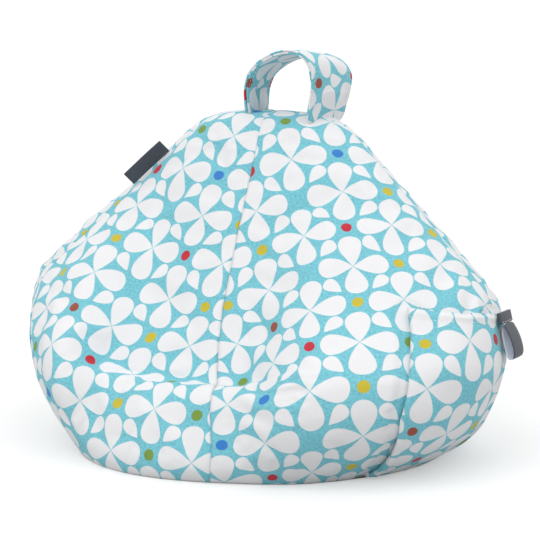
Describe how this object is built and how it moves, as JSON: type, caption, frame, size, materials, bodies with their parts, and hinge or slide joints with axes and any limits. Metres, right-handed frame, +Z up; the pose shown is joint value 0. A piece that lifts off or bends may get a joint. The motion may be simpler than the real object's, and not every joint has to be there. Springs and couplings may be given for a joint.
{
  "type": "bean bag cushion stand",
  "caption": "Low pear-shaped bean bag cushion with a front ledge and leaning rest for a tablet or book, a side pocket and a carrying loop.",
  "frame": {"origin": "on the floor under the middle of the base panel, in the plane of the front centre seam's foot", "axes": "+X to the right of the bag, -Y to its front, +Z up"},
  "size_m": [0.3646, 0.2404, 0.266],
  "materials": {
    "printed_cotton": "matte printed cotton",
    "base_cotton": "matte cotton",
    "liner_cloth": "matte cloth",
    "beads": "loose foam beads",
    "ribbon": "woven satin",
    "zip_tape": "woven tape",
    "zip_coil": "moulded coil",
    "zip_metal": "plated"
  },
  "bodies": {
    "cushion": {"front_left_panel": "printed_cotton", "front_right_panel": "printed_cotton", "back_left_panel": "printed_cotton", "back_right_panel": "printed_cotton", "pocket_panel": "printed_cotton", "pocket_hem": "printed_cotton", "handle_foot_left": "printed_cotton", "handle_foot_right": "printed_cotton", "base_panel": "base_cotton", "inner_liner": "liner_cloth", "liner_closure": "liner_cloth", "bead_fill": "beads", "pocket_tag_head": "ribbon", "zip_tape_left": "zip_tape", "zip_tape_right": "zip_tape", "zip_teeth_left": "zip_coil", "zip_teeth_right": "zip_coil", "zip_top_stop": "zip_metal", "zip_bottom_stop": "zip_metal"},
    "handle": {"handle_strap": "printed_cotton", "handle_lining": "printed_cotton"},
    "slider": {"zip_slider": "zip_metal"},
    "pull": {"zip_pull": "zip_metal"},
    "label": {"side_label": "ribbon"},
    "tag": {"pocket_tag_loop": "ribbon"}
  },
  "joints": [
    {"name": "handle_swing", "type": "hinge", "parent": "cushion", "child": "handle", "pos_m": [-0.0056, 0.0567, 0.2225], "axis": [0.9888, -0.1495, 0], "range_deg": [-30, 30], "stiffness_Nm_per_rad": 0.06},
    {"name": "zip_slide", "type": "slide", "parent": "cushion", "child": "slider", "axis": [-0.0104, 0.3244, -0.9459], "range_m": [0, 0.0618]},
    {"name": "zip_pull_swing", "type": "hinge", "parent": "slider", "child": "pull", "pos_m": [-0.01807, 0.09282, 0.18812], "axis": [0.9945, -0.0953, -0.0437], "range_deg": [0, 150]},
    {"name": "label_bend", "type": "hinge", "parent": "cushion", "child": "label", "pos_m": [-0.10269, 0.03912, 0.18127], "axis": [0.6746, 0.2855, 0.6808], "range_deg": [-35, 35], "stiffness_Nm_per_rad": 0.002},
    {"name": "tag_swing", "type": "hinge", "parent": "cushion", "child": "tag", "pos_m": [0.16556, -0.00923, 0.09835], "axis": [-0.2008, -0.9796, 0], "range_deg": [0, 70]}
  ]
}
